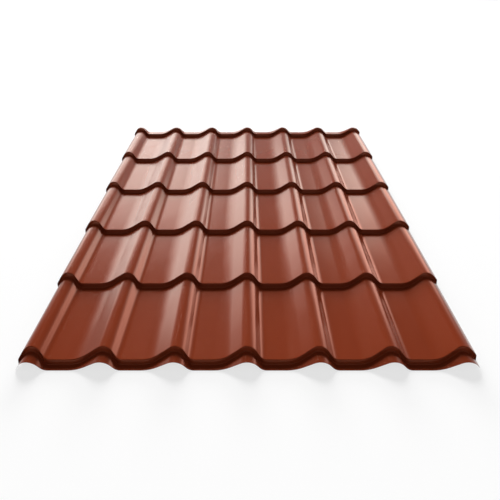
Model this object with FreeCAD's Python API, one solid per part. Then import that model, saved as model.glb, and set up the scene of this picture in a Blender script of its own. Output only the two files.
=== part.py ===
import FreeCAD, Part
import math
import os

# One tile effect metal roofing sheet, in millimetres and degrees.
# +X runs across the waves, +Y runs up the roof from the eaves end, +Z points up.
# The sheet is a wave section carried along a stepped line, so each wave rises at each tile step.

# The steel.
sheet_thickness = 0.5

# The wave, seen in section from the eaves end: a flat pan, a gentle rise, a round crest, a steep fall.
wave_pitch = 183.3
wave_height = 25.0
crests = 7
crest_radius = 36.0
pan_radius = 100.0
heel_radius = 25.0
rise_flat = 29.0
fall_flat = 10.0

# The tile steps, pressed across the waves.
step_module = 350.0
step_height = 14.0
steps = 6
riser_angle = 80.0
nose_radius = 3.0
root_radius = 3.0
nose_advance = 22.5

# What lies past the outer crests and past the first and last steps.
left_lip_radius = 25.0
left_lip_angle = 58.0
left_lip_flat = 14.5
right_lip_flat = 8.0
front_overhang = 42.0
rear_overhang = 16.0

# A round stretch is carried by this many points, evenly spaced in angle.
round_points = 6


def flank_angle(radii, flat, height):
    """The slope in radians of a flank that joins two tangent arcs over a height."""
    reach = math.hypot(radii, flat)
    return math.acos((radii - height) / reach) - math.atan2(flat, radii)


def flank_run(radii, flat, angle):
    """How far a flank and its two arcs reach sideways."""
    return radii * math.sin(angle) + flat * math.cos(angle)


class Stretch:
    """One straight or round stretch of a line: its start, heading, length, signed radius and turn."""

    def __init__(self, along, up, heading, length=0.0, radius=0.0, turn=0.0):
        self.along = along
        self.up = up
        self.heading = heading
        self.length = length
        self.radius = math.copysign(radius, turn)
        self.turn = turn

    def shares(self):
        """Where along the stretch its points are taken, from 0 to 1."""
        count = round_points if self.turn else 2
        return [k / (count - 1) for k in range(count)]

    def at(self, share):
        """The place and heading at a share of the stretch."""
        heading = self.heading + share * self.turn
        if self.turn:
            along = self.along + self.radius * (math.sin(heading) - math.sin(self.heading))
            up = self.up - self.radius * (math.cos(heading) - math.cos(self.heading))
        else:
            along = self.along + share * self.length * math.cos(heading)
            up = self.up + share * self.length * math.sin(heading)
        return along, up, heading


class Line:
    """A line of stretches, each tangent to the one before."""

    def __init__(self, along, up, heading):
        self.end = (along, up, heading)
        self.stretches = []

    def straight(self, length):
        self.add(Stretch(*self.end, length=length))

    def round(self, radius, turn):
        self.add(Stretch(*self.end, radius=radius, turn=turn))

    def add(self, stretch):
        self.stretches.append(stretch)
        self.end = stretch.at(1.0)


# The slopes of the wave's two flanks, and the flat pan that is left between them.
rise_angle = flank_angle(crest_radius + pan_radius, rise_flat, wave_height)
fall_angle = flank_angle(crest_radius + heel_radius, fall_flat, wave_height)
rise_run = flank_run(crest_radius + pan_radius, rise_flat, rise_angle)
fall_run = flank_run(crest_radius + heel_radius, fall_flat, fall_angle)
pan_width = wave_pitch - rise_run - fall_run

# The reach and drop of the two side lips from their crests.
lip_angle = math.radians(left_lip_angle)
left_reach = left_lip_radius * math.sin(lip_angle) + left_lip_flat * math.cos(lip_angle)
left_drop = left_lip_radius * (1 - math.cos(lip_angle)) + left_lip_flat * math.sin(lip_angle)
right_reach = crest_radius * math.sin(fall_angle) + right_lip_flat * math.cos(fall_angle)
sheet_width = left_reach + (crests - 1) * wave_pitch + right_reach

# The slope of a tile from its nose back to the next root, and the lengths that close a module.
tile_slope = math.atan2(step_height, step_module)
riser_slope = math.radians(riser_angle)
bend_radii = nose_radius + root_radius
bend_run = bend_radii * (math.sin(riser_slope) + math.sin(tile_slope))
bend_rise = bend_radii * (math.cos(tile_slope) - math.cos(riser_slope))
slope_gap = math.sin(riser_slope + tile_slope)
riser_flat = ((step_module - bend_run) * math.sin(tile_slope) - bend_rise * math.cos(tile_slope)) / slope_gap
tile_flat = ((step_module - bend_run) * math.sin(riser_slope) + bend_rise * math.cos(riser_slope)) / slope_gap

# The cut ends, with the origin midway between them.
sheet_length = front_overhang + (steps - 1) * step_module + rear_overhang
front_cut = -sheet_length / 2
rear_cut = sheet_length / 2
first_step = front_cut + front_overhang
nose_lean = nose_advance / wave_height


def wave_line():
    """The wave section from the left lip to the right lip, with the flat of a pan at height 0."""
    line = Line(-sheet_width / 2, wave_height - left_drop, lip_angle)
    line.straight(left_lip_flat)
    line.round(left_lip_radius, -lip_angle)
    line.round(crest_radius, -fall_angle)
    for _ in range(crests - 1):
        line.straight(fall_flat)
        line.round(heel_radius, fall_angle)
        line.straight(pan_width)
        line.round(pan_radius, rise_angle)
        line.straight(rise_flat)
        line.round(crest_radius, -rise_angle - fall_angle)
    line.straight(right_lip_flat)
    return line.stretches


def step_line():
    """The stepped line up the roof at a crest, from the front tail to the strip behind the last nose."""
    root_height = sheet_thickness + root_radius * (1 - math.cos(tile_slope))
    line = Line(first_step, root_height, -tile_slope)
    turn = riser_slope + tile_slope
    tail = Stretch(first_step, root_height, -tile_slope, length=0.0)
    stretches = [tail]
    for _ in range(steps):
        line.round(root_radius, turn)
        line.straight(riser_flat)
        line.round(nose_radius, -turn)
        line.straight(tile_flat)
    return stretches + line.stretches


def skin_point(across, share, upward, portion, depth, cut=None):
    """A point of the sheet at a depth below its top skin, slid along the tile to a cut end if one is given."""
    x, height, tilt = across.at(share)
    y, lift, climb = upward.at(portion)
    # The noses lie further forward in the pans than on the crests.
    y += nose_lean * (height - wave_height)
    normal = FreeCAD.Vector(
        math.sin(tilt) * (nose_lean * math.sin(climb) - math.cos(climb)),
        -math.cos(tilt) * math.sin(climb),
        math.cos(tilt) * math.cos(climb),
    )
    point = FreeCAD.Vector(x, y, height + lift) - normal.normalize() * depth
    if cut is not None:
        point += FreeCAD.Vector(0, 1, math.tan(climb)) * (cut - point.y)
    return point


def through(points):
    """The poles of the smooth curve through evenly spaced points."""
    curve = Part.BezierCurve()
    curve.interpolate([[point] for point in points])
    return curve.getPoles()


def face_through(grid):
    """The face through a grid of points: a plane through four corners, or a smooth patch."""
    if len(grid) == 2 and len(grid[0]) == 2:
        corners = [grid[0][0], grid[0][1], grid[1][1], grid[1][0], grid[0][0]]
        return Part.Face(Part.makePolygon(corners))
    rows = [through(row) for row in grid]
    columns = [through(list(column)) for column in zip(*rows)]
    patch = Part.BezierSurface()
    patch.increase(len(grid) - 1, len(grid[0]) - 1)
    for j, column in enumerate(columns):
        for i, pole in enumerate(column):
            patch.setPole(i + 1, j + 1, pole)
    return patch.toShape()


def edge_through(points):
    """The edge through a row of points."""
    if len(points) == 2:
        return Part.makeLine(*points)
    curve = Part.BezierCurve()
    curve.setPoles(through(points))
    return curve.toShape()


wave = wave_line()
climb_line = step_line()


def cut_of(upward, portion):
    """The cut end that a stretch of the stepped line stops at, if it does."""
    if upward is climb_line[0] and portion == 0.0:
        return front_cut
    if upward is climb_line[-1] and portion == 1.0:
        return rear_cut
    return None


def point_at(across, share, upward, portion, depth):
    """A point of the sheet, slid to the cut end where its stretch of the stepped line stops at one."""
    return skin_point(across, share, upward, portion, depth, cut_of(upward, portion))


def skin(depth):
    """All faces of the skin at a depth below the top."""
    faces = []
    for across in wave:
        for upward in climb_line:
            grid = [
                [point_at(across, s, upward, p, depth) for p in upward.shares()]
                for s in across.shares()
            ]
            faces.append(face_through(grid))
    return faces


def side_edge(across, share):
    """The sheared edge down one long side."""
    faces = []
    for upward in climb_line:
        grid = [
            [point_at(across, share, upward, p, depth) for p in upward.shares()]
            for depth in (0.0, sheet_thickness)
        ]
        faces.append(face_through(grid))
    return faces


def end_edge(upward, portion):
    """The sheared edge across one end, as one flat face."""
    edges = []
    for depth in (0.0, sheet_thickness):
        for across in wave:
            row = [point_at(across, s, upward, portion, depth) for s in across.shares()]
            edges.append(edge_through(row))
    for across, share in ((wave[0], 0.0), (wave[-1], 1.0)):
        top = point_at(across, share, upward, portion, 0.0)
        under = point_at(across, share, upward, portion, sheet_thickness)
        edges.append(Part.makeLine(top, under))
    outline = Part.Wire(Part.sortEdges(edges)[0])
    return Part.Face(outline)


def roofing_sheet():
    """The whole sheet as one closed solid."""
    faces = skin(0.0) + skin(sheet_thickness)
    faces += side_edge(wave[0], 0.0) + side_edge(wave[-1], 1.0)
    faces += [end_edge(climb_line[0], 0.0), end_edge(climb_line[-1], 1.0)]
    shell = Part.makeShell(faces)
    shell.sewShape()
    return Part.makeSolid(shell)


sheet = roofing_sheet()
if sheet.Volume < 0:
    sheet.reverse()
os.makedirs("parts", exist_ok=True)
sheet.exportStep("parts/roofing_sheet.step")
print("width", round(sheet_width, 2), "length", round(sheet_length, 2), "faces", len(sheet.Faces))
print("volume", round(sheet.Volume), "valid", sheet.isValid())
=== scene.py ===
import math

import bpy
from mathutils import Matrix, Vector


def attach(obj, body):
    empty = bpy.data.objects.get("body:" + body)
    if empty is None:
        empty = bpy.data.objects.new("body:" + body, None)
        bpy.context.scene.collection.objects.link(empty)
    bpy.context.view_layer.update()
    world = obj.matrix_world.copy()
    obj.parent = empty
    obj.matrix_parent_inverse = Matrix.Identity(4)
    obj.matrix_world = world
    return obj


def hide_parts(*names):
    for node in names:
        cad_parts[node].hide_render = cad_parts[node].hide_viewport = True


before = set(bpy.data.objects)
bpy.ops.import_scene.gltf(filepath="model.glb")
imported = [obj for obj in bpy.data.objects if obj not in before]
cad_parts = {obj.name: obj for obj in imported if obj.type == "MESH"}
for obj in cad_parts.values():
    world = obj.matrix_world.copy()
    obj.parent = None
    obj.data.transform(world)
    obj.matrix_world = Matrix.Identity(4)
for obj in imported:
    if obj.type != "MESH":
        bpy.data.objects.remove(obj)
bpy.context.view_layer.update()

# The sheet's sizes, in metres and radians, as the solid has them.
THICKNESS = 0.0005
PITCH = 0.1833
WAVE_HEIGHT = 0.025
CRESTS = 7
CREST_RADIUS = 0.036
PAN_RADIUS = 0.100
HEEL_RADIUS = 0.025
RISE_FLAT = 0.029
FALL_FLAT = 0.010
MODULE = 0.350
STEP_HEIGHT = 0.014
STEPS = 6
RISER_SLOPE = math.radians(80)
NOSE_RADIUS = 0.003
ROOT_RADIUS = 0.003
NOSE_ADVANCE = 0.0225
LIP_RADIUS = 0.025
LIP_ANGLE = math.radians(58)
LEFT_FLAT = 0.0145
RIGHT_FLAT = 0.008
FRONT_OVERHANG = 0.042
REAR_OVERHANG = 0.016


def flank_angle(radii, flat):
    """The slope of a flank that spans the wave height with a flat between its two bends."""
    reach = math.hypot(radii, flat)
    return math.acos((radii - WAVE_HEIGHT) / reach) - math.atan2(flat, radii)


def flank_run(radii, flat, angle):
    """The width that a flank takes up, with its bends."""
    return radii * math.sin(angle) + flat * math.cos(angle)


# The wave, worked out from the sizes.
RISE_ANGLE = flank_angle(CREST_RADIUS + PAN_RADIUS, RISE_FLAT)
FALL_ANGLE = flank_angle(CREST_RADIUS + HEEL_RADIUS, FALL_FLAT)
PAN_WIDTH = (
    PITCH
    - flank_run(CREST_RADIUS + PAN_RADIUS, RISE_FLAT, RISE_ANGLE)
    - flank_run(CREST_RADIUS + HEEL_RADIUS, FALL_FLAT, FALL_ANGLE)
)
LEFT_REACH = flank_run(LIP_RADIUS, LEFT_FLAT, LIP_ANGLE)
LEFT_DROP = LIP_RADIUS * (1 - math.cos(LIP_ANGLE)) + LEFT_FLAT * math.sin(LIP_ANGLE)
RIGHT_REACH = flank_run(CREST_RADIUS, RIGHT_FLAT, FALL_ANGLE)
WIDTH = LEFT_REACH + (CRESTS - 1) * PITCH + RIGHT_REACH

# The tile steps, worked out from the sizes: each comes back to its start's height in one module.
TILE_SLOPE = math.atan2(STEP_HEIGHT, MODULE)
STEP_TURN = RISER_SLOPE + TILE_SLOPE
BEND_RADII = NOSE_RADIUS + ROOT_RADIUS
BEND_RISE = BEND_RADII * (math.cos(TILE_SLOPE) - math.cos(RISER_SLOPE))
STRAIGHT_RUN = MODULE - BEND_RADII * (math.sin(RISER_SLOPE) + math.sin(TILE_SLOPE))
RISER_FLAT = (
    STRAIGHT_RUN * math.sin(TILE_SLOPE) - BEND_RISE * math.cos(TILE_SLOPE)
) / math.sin(STEP_TURN)
TILE_FLAT = (
    STRAIGHT_RUN * math.sin(RISER_SLOPE) + BEND_RISE * math.cos(RISER_SLOPE)
) / math.sin(STEP_TURN)
LENGTH = FRONT_OVERHANG + (STEPS - 1) * MODULE + REAR_OVERHANG
FIRST_STEP = FRONT_OVERHANG - LENGTH / 2
NOSE_LEAN = NOSE_ADVANCE / WAVE_HEIGHT

# How finely the mesh follows the form.
ROUND_STEP = math.radians(6)
FEWEST_BEND_PARTS = 2
TILE_ROWS = 12
PAN_COLUMNS = 3
FLANK_COLUMNS = 2

# The slight waviness that rolling leaves in the flats: height, length across, length along, phase.
WAVINESS = (
    (0.00010, 0.19, 0.31, 0.4),
    (0.00007, -0.13, 0.17, 2.1),
    (0.00004, 0.07, -0.11, 4.0),
)

# The numbers of the sheet's three materials.
TOP, UNDER, EDGE = range(3)


def straight(length, count=1):
    return length, 0.0, count


def bend(radius, turn):
    return radius, turn, max(FEWEST_BEND_PARTS, math.ceil(abs(turn) / ROUND_STEP))


def line_of(start, heading, moves):
    """Points (along, up, heading, share of its straight move) of a line of straight and round moves."""
    along, up = start
    points = [(along, up, heading, 0.0)]
    for length, turn, count in moves:
        for k in range(1, count + 1):
            share = k / count
            if turn:
                radius = math.copysign(length, turn)
                now = heading + share * turn
                place = (
                    along + radius * (math.sin(now) - math.sin(heading)),
                    up - radius * (math.cos(now) - math.cos(heading)),
                )
                points.append((*place, now, 0.0))
            else:
                place = (
                    along + share * length * math.cos(heading),
                    up + share * length * math.sin(heading),
                )
                points.append((*place, heading, share))
        along, up, heading = points[-1][:3]
    return points


def wave_points():
    """The wave section, from the left lip to the right lip."""
    moves = [
        straight(LEFT_FLAT, FLANK_COLUMNS),
        bend(LIP_RADIUS, -LIP_ANGLE),
        bend(CREST_RADIUS, -FALL_ANGLE),
    ]
    for _ in range(CRESTS - 1):
        moves += [
            straight(FALL_FLAT),
            bend(HEEL_RADIUS, FALL_ANGLE),
            straight(PAN_WIDTH, PAN_COLUMNS),
            bend(PAN_RADIUS, RISE_ANGLE),
            straight(RISE_FLAT, FLANK_COLUMNS),
            bend(CREST_RADIUS, -RISE_ANGLE - FALL_ANGLE),
        ]
    moves.append(straight(RIGHT_FLAT))
    return line_of((-WIDTH / 2, WAVE_HEIGHT - LEFT_DROP), LIP_ANGLE, moves)


def step_points():
    """The stepped line up the roof at a crest, from the first root to the end of the last tile."""
    moves = []
    for step in range(STEPS):
        rows = TILE_ROWS if step < STEPS - 1 else 1
        moves += [
            bend(ROOT_RADIUS, STEP_TURN),
            straight(RISER_FLAT),
            bend(NOSE_RADIUS, -STEP_TURN),
            straight(TILE_FLAT, rows),
        ]
    root_height = THICKNESS + ROOT_RADIUS * (1 - math.cos(TILE_SLOPE))
    return line_of((FIRST_STEP, root_height), -TILE_SLOPE, moves)


def waviness(x, y, share):
    """Height and slopes of the waviness, which fades out at each end of a tile."""
    strength = math.sin(math.pi * share) ** 2
    height = slope_x = slope_y = 0.0
    for size, across, along, phase in WAVINESS:
        turns_x, turns_y = 2 * math.pi / across, 2 * math.pi / along
        angle = turns_x * x + turns_y * y + phase
        height += strength * size * math.sin(angle)
        slope_x += strength * size * turns_x * math.cos(angle)
        slope_y += strength * size * turns_y * math.cos(angle)
    return height, slope_x, slope_y


def skin_vertex(across, upward, depth, cut):
    """Place and normal of a point of the sheet, at a depth below its top skin.

    Where a cut is given, the point slides along its tile to that end of the sheet.
    """
    x, height, tilt, _ = across
    y, lift, climb, share = upward
    y += NOSE_LEAN * (height - WAVE_HEIGHT)
    normal = Vector((
        math.sin(tilt) * (NOSE_LEAN * math.sin(climb) - math.cos(climb)),
        -math.cos(tilt) * math.sin(climb),
        math.cos(tilt) * math.cos(climb),
    )).normalized()
    place = Vector((x, y, height + lift)) - normal * depth
    if cut is not None:
        place += Vector((0, 1, math.tan(climb))) * (cut - place.y)
    rise, slope_x, slope_y = waviness(place.x, place.y, share)
    place.z += rise
    bent = normal - Vector((slope_x, slope_y, 0)) * normal.z
    return place, bent.normalized()


def skin_faces(wide, deep):
    """The faces over two skins of wide x deep points, the lower one listed second, and their kinds."""
    under = wide * deep
    faces, kinds = [], []
    for row in range(deep - 1):
        for column in range(wide - 1):
            a = row * wide + column
            b = a + under
            faces.append((a, a + 1, a + wide + 1, a + wide))
            faces.append((b, b + wide, b + wide + 1, b + 1))
            kinds += [TOP, UNDER]
    for front in range(wide - 1):
        back = (deep - 1) * wide + front
        faces.append((front, front + under, front + 1 + under, front + 1))
        faces.append((back, back + 1, back + 1 + under, back + under))
        kinds += [EDGE, EDGE]
    for row in range(deep - 1):
        left = row * wide
        right = left + wide - 1
        faces.append((left, left + wide, left + wide + under, left + under))
        faces.append((right, right + under, right + wide + under, right + wide))
        kinds += [EDGE, EDGE]
    return faces, kinds


def sheet_mesh():
    """The whole sheet as a closed mesh: both skins and the sheared edges, with true normals."""
    wave = wave_points()
    *steps, last = step_points()
    uncut = [(point, None) for point in steps]
    rows = [(steps[0], -LENGTH / 2), *uncut, (last, LENGTH / 2)]
    places, normals = [], []
    for depth in (0.0, THICKNESS):
        for upward, cut in rows:
            for across in wave:
                place, normal = skin_vertex(across, upward, depth, cut)
                places.append(place)
                normals.append(normal if depth == 0.0 else -normal)
    faces, kinds = skin_faces(len(wave), len(rows))

    mesh = bpy.data.meshes.new("roofing_sheet_skin")
    mesh.from_pydata(places, [], faces)
    mesh.update()
    mesh.polygons.foreach_set("material_index", kinds)
    mesh.polygons.foreach_set("use_smooth", [True] * len(faces))
    loop_normals = []
    for polygon, kind in zip(mesh.polygons, kinds):
        for corner in polygon.vertices:
            loop_normals.append(polygon.normal if kind == EDGE else normals[corner])
    mesh.normals_split_custom_set(loop_normals)
    return mesh


def nodes_of(owner):
    """The emptied node tree of a material or world."""
    owner.use_nodes = True
    owner.node_tree.nodes.clear()
    return owner.node_tree.nodes, owner.node_tree.links


def show(nodes, links, result, output="ShaderNodeOutputMaterial"):
    """Makes a shader the surface of its material or world."""
    links.new(result, nodes.new(output).inputs["Surface"])


def noise(nodes, links, scale, detail, stretch=(1, 1, 1)):
    """A noise over the object's own coordinates, in metres."""
    place = nodes.new("ShaderNodeTexCoord")
    shape = nodes.new("ShaderNodeMapping")
    shape.inputs["Scale"].default_value = stretch
    links.new(place.outputs["Object"], shape.inputs["Vector"])
    texture = nodes.new("ShaderNodeTexNoise")
    texture.inputs["Scale"].default_value = scale
    texture.inputs["Detail"].default_value = detail
    links.new(shape.outputs["Vector"], texture.inputs["Vector"])
    return texture.outputs["Fac"]


def ranged(nodes, links, value, low, high, start=0.3, stop=0.7):
    """A value mapped from start..stop to low..high."""
    node = nodes.new("ShaderNodeMapRange")
    node.inputs["From Min"].default_value = start
    node.inputs["From Max"].default_value = stop
    node.inputs["To Min"].default_value = low
    node.inputs["To Max"].default_value = high
    links.new(value, node.inputs["Value"])
    return node.outputs["Result"]


def fade(nodes, links, value, start, stop):
    """A smooth change from 0 at the start to 1 at the stop, which may be the lower of the two."""
    node = nodes.new("ShaderNodeMapRange")
    node.interpolation_type = "SMOOTHSTEP"
    node.inputs["From Min"].default_value = min(start, stop)
    node.inputs["From Max"].default_value = max(start, stop)
    node.inputs["To Min"].default_value = 0.0 if start < stop else 1.0
    node.inputs["To Max"].default_value = 1.0 if start < stop else 0.0
    links.new(value, node.inputs["Value"])
    return node.outputs["Result"]


def combined(nodes, links, operation, first, second):
    """Two values put together by a math operation."""
    node = nodes.new("ShaderNodeMath")
    node.operation = operation
    links.new(first, node.inputs[0])
    links.new(second, node.inputs[1])
    return node.outputs["Value"]


def blend(nodes, links, factor, first, second):
    """A colour mixed between two by a factor."""
    node = nodes.new("ShaderNodeMix")
    node.data_type = "RGBA"
    node.inputs["A"].default_value = (*first, 1)
    node.inputs["B"].default_value = (*second, 1)
    links.new(factor, node.inputs["Factor"])
    return node.outputs["Result"]


def mixed(nodes, links, factor, first, second):
    """A shader mixed between two by a factor."""
    node = nodes.new("ShaderNodeMixShader")
    links.new(factor, node.inputs[0])
    links.new(first, node.inputs[1])
    links.new(second, node.inputs[2])
    return node.outputs["Shader"]


def paint_material():
    """The weather side: terracotta brown polyester paint, semi-gloss with a fine orange peel."""
    material = bpy.data.materials.new("terracotta_paint")
    nodes, links = nodes_of(material)
    shader = nodes.new("ShaderNodeBsdfPrincipled")
    shader.inputs["IOR"].default_value = 1.5
    shader.inputs["Metallic"].default_value = 0.10
    shader.inputs["Specular Tint"].default_value = (1.0, 0.6, 0.42, 1)
    clouds = noise(nodes, links, scale=9.0, detail=4.0, stretch=(1, 0.35, 1))
    tone = ranged(nodes, links, clouds, low=0, high=1)
    colour = blend(nodes, links, tone, (0.208, 0.0322, 0.0104), (0.222, 0.0350, 0.0118))
    links.new(colour, shader.inputs["Base Color"])
    streaks = noise(nodes, links, scale=60.0, detail=5.0, stretch=(1, 0.25, 1))
    gloss = ranged(nodes, links, streaks, low=0.16, high=0.20)
    links.new(gloss, shader.inputs["Roughness"])
    peel = nodes.new("ShaderNodeBump")
    peel.inputs["Strength"].default_value = 0.08
    peel.inputs["Distance"].default_value = 0.0002
    links.new(noise(nodes, links, scale=700.0, detail=2.0), peel.inputs["Height"])
    links.new(peel.outputs["Normal"], shader.inputs["Normal"])
    show(nodes, links, shader.outputs["BSDF"])
    return material


def backing_material():
    """The underside: thin grey backing coat, matt and a little uneven."""
    material = bpy.data.materials.new("grey_backing_coat")
    nodes, links = nodes_of(material)
    shader = nodes.new("ShaderNodeBsdfPrincipled")
    streaks = noise(nodes, links, scale=14.0, detail=5.0, stretch=(1, 0.2, 1))
    tone = ranged(nodes, links, streaks, low=0, high=1)
    colour = blend(nodes, links, tone, (0.30, 0.29, 0.27), (0.36, 0.35, 0.33))
    links.new(colour, shader.inputs["Base Color"])
    gloss = ranged(nodes, links, tone, low=0.45, high=0.55, start=0, stop=1)
    links.new(gloss, shader.inputs["Roughness"])
    show(nodes, links, shader.outputs["BSDF"])
    return material


def edge_material():
    """The sheared edges: bare steel with its zinc smeared over it."""
    material = bpy.data.materials.new("sheared_steel_edge")
    nodes, links = nodes_of(material)
    shader = nodes.new("ShaderNodeBsdfPrincipled")
    shader.inputs["Metallic"].default_value = 1.0
    shader.inputs["Roughness"].default_value = 0.45
    tone = ranged(nodes, links, noise(nodes, links, scale=400.0, detail=3.0), low=0, high=1)
    colour = blend(nodes, links, tone, (0.30, 0.29, 0.28), (0.50, 0.49, 0.48))
    links.new(colour, shader.inputs["Base Color"])
    show(nodes, links, shader.outputs["BSDF"])
    return material


def make_sheet():
    """The one piece, with its materials in the order of TOP, UNDER and EDGE."""
    mesh = sheet_mesh()
    for material in (paint_material(), backing_material(), edge_material()):
        mesh.materials.append(material)
    sheet = bpy.data.objects.new("pressed_sheet", mesh)
    bpy.context.scene.collection.objects.link(sheet)
    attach(sheet, "root")
    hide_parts("roofing_sheet")


def make_floor():
    """A wide white floor that shows partly as a plain white glow, so that shadows on it stay soft."""
    span = 60
    whiteness = 0.95
    glow_share = 0.7
    bpy.ops.mesh.primitive_plane_add(size=span, location=(0, 0, 0))
    floor = bpy.context.object
    floor.name = "floor"
    material = bpy.data.materials.new("pale_floor")
    nodes, links = nodes_of(material)
    shader = nodes.new("ShaderNodeBsdfDiffuse")
    shader.inputs["Color"].default_value = (whiteness, whiteness, whiteness, 1)
    glow = nodes.new("ShaderNodeEmission")
    glow.inputs["Color"].default_value = (1, 1, 1, 1)
    glow.inputs["Strength"].default_value = 1.0
    rays = nodes.new("ShaderNodeLightPath").outputs
    seen = combined(nodes, links, "MAXIMUM", rays["Is Camera Ray"], rays["Is Glossy Ray"])
    seen = combined(nodes, links, "MAXIMUM", seen, rays["Is Transmission Ray"])
    share = ranged(nodes, links, seen, low=0.0, high=glow_share, start=0, stop=1)
    show(nodes, links, mixed(nodes, links, share, shader.outputs["BSDF"], glow.outputs["Emission"]))
    floor.data.materials.append(material)


def make_world():
    """A backdrop that is grey at the horizon and dark overhead."""
    levels = ((0.0, 0.42), (0.16, 0.45), (0.28, 0.44), (0.42, 0.15), (0.55, 0.05))
    world = bpy.data.worlds.new("studio")
    bpy.context.scene.world = world
    nodes, links = nodes_of(world)
    place = nodes.new("ShaderNodeTexCoord")
    parts = nodes.new("ShaderNodeSeparateXYZ")
    links.new(place.outputs["Generated"], parts.inputs["Vector"])
    ramp = nodes.new("ShaderNodeValToRGB")
    stops = ramp.color_ramp.elements
    stops.remove(stops[1])
    for position, level in levels:
        stop = stops.new(position) if position > 0 else stops[0]
        stop.color = (level, level, level, 1)
    links.new(parts.outputs["Z"], ramp.inputs["Fac"])
    backdrop = nodes.new("ShaderNodeBackground")
    links.new(ramp.outputs["Color"], backdrop.inputs["Color"])
    show(nodes, links, backdrop.outputs["Background"], "ShaderNodeOutputWorld")


def make_softbox(name, left, right, bottom, top, radiance, warming):
    """A standing soft box that the paint mirrors, fading out over a stretch at each side.

    The stretches are pairs (lower, higher) of places in metres. The warming is an axis, the
    places where it starts and stops, and the colour at each.
    """
    distance = 2.8
    low, high = left[0], right[1]
    corners = [
        (low, distance, 0),
        (high, distance, 0),
        (high, distance, top[1]),
        (low, distance, top[1]),
    ]
    mesh = bpy.data.meshes.new(name)
    mesh.from_pydata(corners, [], [(0, 1, 2, 3)])
    material = bpy.data.materials.new(name)
    nodes, links = nodes_of(material)
    place = nodes.new("ShaderNodeTexCoord")
    parts = nodes.new("ShaderNodeSeparateXYZ")
    links.new(place.outputs["Object"], parts.inputs["Vector"])
    cover = fade(nodes, links, parts.outputs["Z"], *bottom)
    for axis, (start, stop) in (("Z", top[::-1]), ("X", left), ("X", right[::-1])):
        side = fade(nodes, links, parts.outputs[axis], start, stop)
        cover = combined(nodes, links, "MULTIPLY", cover, side)
    axis, start, stop, cool, warm = warming
    warmth = fade(nodes, links, parts.outputs[axis], start, stop)
    glow = nodes.new("ShaderNodeEmission")
    links.new(blend(nodes, links, warmth, cool, warm), glow.inputs["Color"])
    glow.inputs["Strength"].default_value = radiance
    clear = nodes.new("ShaderNodeBsdfTransparent")
    show(nodes, links, mixed(nodes, links, cover, clear.outputs["BSDF"], glow.outputs["Emission"]))
    mesh.materials.append(material)
    box = bpy.data.objects.new(name, mesh)
    box.visible_camera = False
    box.visible_diffuse = False
    box.visible_shadow = False
    bpy.context.scene.collection.objects.link(box)


def make_sun(name, elevation, azimuth, spread, energy):
    """A broad lamp far away, which the paint doesn't mirror. Angles are in degrees."""
    light = bpy.data.lights.new(name, "SUN")
    light.energy = energy
    light.angle = math.radians(spread)
    lamp = bpy.data.objects.new(name, light)
    lamp.visible_glossy = False
    up, side = math.radians(elevation), math.radians(azimuth)
    direction = Vector((
        math.sin(side) * math.cos(up),
        math.cos(side) * math.cos(up),
        math.sin(up),
    ))
    lamp.rotation_euler = direction.to_track_quat("Z", "Y").to_euler()
    bpy.context.scene.collection.objects.link(lamp)


def make_strip(centre, width, height, energy):
    """A long low lamp that stands behind the sheet and faces it, which the paint doesn't mirror."""
    light = bpy.data.lights.new("strip", "AREA")
    light.shape = "RECTANGLE"
    light.size, light.size_y = width, height
    light.energy = energy
    lamp = bpy.data.objects.new("strip", light)
    lamp.location = centre
    lamp.rotation_euler = (-math.pi / 2, 0, 0)
    lamp.visible_glossy = False
    lamp.visible_camera = False
    bpy.context.scene.collection.objects.link(lamp)


def make_lamps():
    """Soft light low behind, which shades the front of each step, a fill and two soft boxes."""
    make_sun("key", elevation=27, azimuth=-8, spread=22, energy=4.0)
    make_sun("fill", elevation=75, azimuth=180, spread=60, energy=0.3)
    make_strip(centre=(-0.3, 6.7, 1.0), width=3.6, height=1.6, energy=1080)
    make_softbox(
        "left_box",
        left=(-3.1, -2.1),
        right=(-0.78, 0.12),
        bottom=(-0.4, 0.5),
        top=(0.9, 1.7),
        radiance=3.0,
        warming=("Z", 0.9, 1.5, (0.92, 1.0, 0.98), (1.0, 0.9, 0.9)),
    )
    make_softbox(
        "right_box",
        left=(0.42, 1.15),
        right=(2.2, 3.4),
        bottom=(-0.15, 0.42),
        top=(0.95, 1.8),
        radiance=3.4,
        warming=("X", 0.9, 1.6, (0.86, 0.92, 0.88), (1.0, 0.71, 0.62)),
    )


def make_camera():
    """The photograph's view: level from side to side, thirty degrees down, over the fourth crest."""
    focal_pixels = 576.5
    image_pixels = 500
    vanishing_x = 247
    pitch_down = math.radians(30.014)
    crests_to_left = 3
    nose_height = 0.0392
    before_nose = 1.1429
    above_nose = 0.9442
    data = bpy.data.cameras.new("camera")
    data.sensor_width = 36
    data.lens = focal_pixels / image_pixels * data.sensor_width
    data.shift_x = (image_pixels / 2 - vanishing_x) / image_pixels
    camera = bpy.data.objects.new("camera", data)
    camera.location = (
        -WIDTH / 2 + LEFT_REACH + crests_to_left * PITCH,
        FIRST_STEP + ROOT_RADIUS - before_nose,
        nose_height + above_nose,
    )
    camera.rotation_euler = (math.pi / 2 - pitch_down, 0, 0)
    bpy.context.scene.collection.objects.link(camera)
    bpy.context.scene.camera = camera


make_sheet()
make_floor()
make_world()
make_lamps()
make_camera()
bpy.context.scene.view_settings.view_transform = "Standard"
